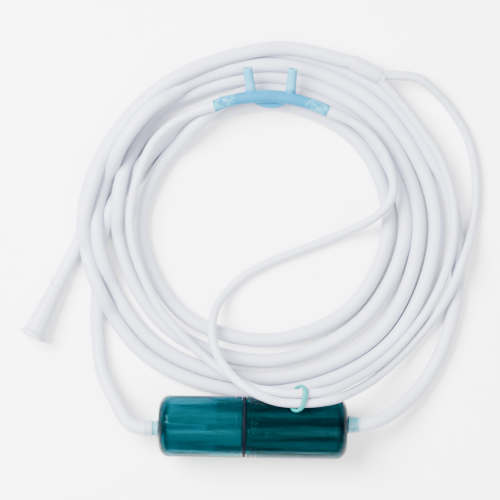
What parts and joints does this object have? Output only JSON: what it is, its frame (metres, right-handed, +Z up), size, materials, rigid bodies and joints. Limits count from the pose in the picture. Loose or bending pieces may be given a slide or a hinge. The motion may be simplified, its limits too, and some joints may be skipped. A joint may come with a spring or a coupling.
{
  "type": "nasal cannula with water trap",
  "caption": "Silicone nasal cannula lying coiled: pronged nosepiece, thin ear tubes with a slide ring, branch connector, coiled supply hose, in-line water trap and a flared end connector.",
  "frame": {"origin": "middle of the underside of the moulded pieces, on the floor that the cannula lies on", "axes": "+Z up from the floor, +Y from the water trap towards the nosepiece, +X along the water trap towards its outlet"},
  "size_m": [0.2319, 0.2066, 0.0351],
  "materials": {
    "hose_silicone": "satin white silicone",
    "blue_silicone": "glossy translucent silicone",
    "aqua_silicone": "satin silicone",
    "connector_plastic": "satin white plastic",
    "trap_plastic": "clear teal plastic",
    "seal_rubber": "black rubber",
    "port_silicone": "translucent pale blue silicone"
  },
  "bodies": {
    "root": {"nosepiece": "blue_silicone", "ear_tube_right": "hose_silicone", "ear_tube_left": "hose_silicone", "y_connector": "connector_plastic", "hose_coil": "hose_silicone", "hose_left_lead": "hose_silicone", "hose_right_lead": "hose_silicone", "hose_end_lead": "hose_silicone", "supply_connector": "connector_plastic", "trap_cap": "trap_plastic", "trap_inlet": "port_silicone"},
    "cup_half": {"trap_cup": "trap_plastic", "trap_seal": "seal_rubber", "trap_outlet": "port_silicone"},
    "ring": {"slide_ring": "aqua_silicone"}
  },
  "joints": [
    {"name": "trap_pull", "type": "slide", "parent": "root", "child": "cup_half", "axis": [0.9999, -0.0157, 0], "range_m": [0, 0.016], "deforming": ["hose_right_lead"]},
    {"name": "ring_slide", "type": "slide", "parent": "root", "child": "ring", "axis": [1, 0, 0], "range_m": [-0.005, 0.005]}
  ]
}
